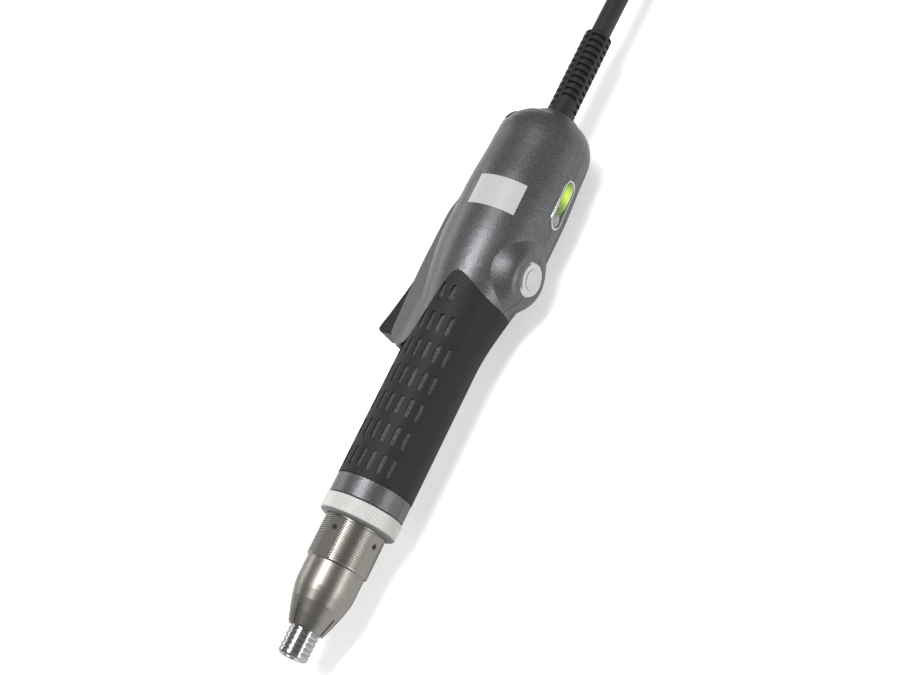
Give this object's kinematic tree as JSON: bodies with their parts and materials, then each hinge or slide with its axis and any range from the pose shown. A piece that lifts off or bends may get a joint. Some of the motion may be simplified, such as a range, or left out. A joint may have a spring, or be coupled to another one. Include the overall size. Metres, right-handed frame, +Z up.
{
  "type": "electric torque screwdriver",
  "caption": "Corded electric torque screwdriver with a bit chuck, slotted nose, torque ring, rubber grip, start lever, reverse button, lamp window and hanging ring.",
  "frame": {"origin": "centre of the bit socket mouth on the spindle axis, at the front end of the tool", "axes": "+X along the spindle towards the cord, the housing parts at z = 0, +Y towards the start lever, -Y towards the reverse button, +Z up; the tool lies on its back half with the table 25.5 mm below the axis"},
  "size_m": [0.526, 0.0917, 0.051],
  "materials": {
    "housing_grey": "fine metallic texture",
    "grip_rubber": "matt moulded rubber",
    "screw_steel": "blackened",
    "plate_white": "satin bare plate",
    "lens_clear": "clear moulding",
    "lamp_green": "lit green",
    "lamp_grey": "unlit",
    "board_green": "laminate",
    "bezel_silver": "satin",
    "nose_metal": "satin, warm grey",
    "felt": "felt",
    "boot_black": "moulded",
    "cable_black": "extruded jacket",
    "chrome": "polished",
    "case_alloy": "die cast",
    "can_steel": "plated",
    "black_plastic": "moulded",
    "copper_iron": "wound core",
    "bearing_steel": "ground",
    "spring_steel": "drawn wire",
    "tool_steel": "ground",
    "gear_brass": "cut",
    "magnet": "sintered",
    "ring_white": "knurled, near white",
    "lever_black": "moulded",
    "plunger_red": "moulded",
    "pin_gold": "plated"
  },
  "bodies": {
    "root": {"housing_front": "housing_grey", "housing_back": "housing_grey", "grip_front": "grip_rubber", "grip_back": "grip_rubber", "housing_screws": "screw_steel", "rating_plate": "plate_white", "indicator_lens": "lens_clear", "green_led": "lamp_green", "grey_led": "lamp_grey", "led_board": "board_green", "button_bezel": "bezel_silver", "nose_housing": "nose_metal", "nose_screws": "screw_steel", "nose_seal": "felt", "cable_boot": "boot_black", "hanger_eyelet": "chrome", "gear_case": "case_alloy", "motor_can": "can_steel", "motor_end_cap": "black_plastic", "stator": "copper_iron", "hall_board": "board_green", "spindle_bearings": "bearing_steel", "motor_bearings": "bearing_steel", "control_board": "board_green", "microswitch": "black_plastic", "lever_pin": "screw_steel", "tact_switch": "black_plastic", "cable_clamp": "black_plastic", "cable_lead": "cable_black", "clutch_spring": "spring_steel", "lever_spring": "spring_steel", "button_spring": "spring_steel", "cord": "cable_black", "cord_coil": "cable_black", "cord_tie": "black_plastic", "connector_shell": "chrome", "connector_nut": "chrome", "connector_pins": "pin_gold", "connector_boot": "boot_black"},
    "spindle": {"spindle": "tool_steel", "chuck_spring": "spring_steel", "chuck_balls": "bearing_steel", "chuck_clip": "screw_steel", "clutch_plate": "tool_steel", "clutch_balls": "bearing_steel", "planet_carrier": "tool_steel", "planet_pins": "tool_steel"},
    "chuck": {"chuck_collar": "chrome"},
    "planet_1": {"planet_gear_1": "gear_brass"},
    "planet_2": {"planet_gear_2": "gear_brass"},
    "planet_3": {"planet_gear_3": "gear_brass"},
    "rotor": {"motor_shaft": "tool_steel", "rotor_magnet": "magnet", "sun_gear": "gear_brass"},
    "torque_ring": {"torque_ring": "ring_white"},
    "spring_cup": {"spring_cup": "tool_steel"},
    "lever": {"start_lever": "lever_black"},
    "plunger": {"switch_plunger": "plunger_red"},
    "button": {"reverse_button": "bezel_silver"},
    "hanger": {"hanger_ring": "chrome"}
  },
  "joints": [
    {"name": "spindle_turn", "type": "hinge", "parent": "root", "child": "spindle", "pos_m": [0, 0, 0], "axis": [1, 0, 0], "continuous": true},
    {"name": "chuck_slide", "type": "slide", "parent": "spindle", "child": "chuck", "axis": [1, 0, 0], "range_m": [0, 0.003], "stiffness_N_per_m": 800, "springref_m": -0.003, "deforming": ["chuck_spring"]},
    {"name": "rotor_turn", "type": "hinge", "parent": "root", "child": "rotor", "pos_m": [0.12, 0, 0], "axis": [1, 0, 0], "continuous": true},
    {"name": "torque_ring_turn", "type": "hinge", "parent": "root", "child": "torque_ring", "pos_m": [0.068, 0, 0], "axis": [1, 0, 0], "range_deg": [0, 300]},
    {"name": "spring_cup_slide", "type": "slide", "parent": "root", "child": "spring_cup", "axis": [1, 0, 0], "range_m": [0, 0.003], "deforming": ["clutch_spring"]},
    {"name": "lever_press", "type": "hinge", "parent": "root", "child": "lever", "pos_m": [0.21, 0.0215, 0], "axis": [0, 0, 1], "range_deg": [0, 4.5], "stiffness_Nm_per_rad": 1.5, "springref_deg": -4.58, "deforming": ["lever_spring"]},
    {"name": "plunger_slide", "type": "slide", "parent": "root", "child": "plunger", "axis": [0, -1, 0], "range_m": [0, 0.0026]},
    {"name": "button_press", "type": "slide", "parent": "root", "child": "button", "axis": [0, 1, 0], "range_m": [0, 0.0015], "stiffness_N_per_m": 400, "springref_m": -0.003, "deforming": ["button_spring"]},
    {"name": "hanger_swing", "type": "hinge", "parent": "root", "child": "hanger", "pos_m": [0.2841, 0.0196, 0], "axis": [0, 0, -1], "range_deg": [0, 150]},
    {"name": "planet_1_turn", "type": "hinge", "parent": "spindle", "child": "planet_1", "pos_m": [0.0927, 0, 0.0072], "axis": [1, 0, 0], "continuous": true},
    {"name": "planet_2_turn", "type": "hinge", "parent": "spindle", "child": "planet_2", "pos_m": [0.0927, -0.00624, -0.0036], "axis": [1, 0, 0], "continuous": true},
    {"name": "planet_3_turn", "type": "hinge", "parent": "spindle", "child": "planet_3", "pos_m": [0.0927, 0.00624, -0.0036], "axis": [1, 0, 0], "continuous": true}
  ],
  "couplings": [
    {"joint": "rotor_turn", "follows": "spindle_turn", "ratio": 4},
    {"joint": "spring_cup_slide", "follows": "torque_ring_turn", "m_per_rad": 0.00057296},
    {"joint": "plunger_slide", "follows": "lever_press", "m_per_rad": 0.033},
    {"joint": "planet_1_turn", "follows": "spindle_turn", "ratio": -3},
    {"joint": "planet_2_turn", "follows": "spindle_turn", "ratio": -3},
    {"joint": "planet_3_turn", "follows": "spindle_turn", "ratio": -3}
  ]
}
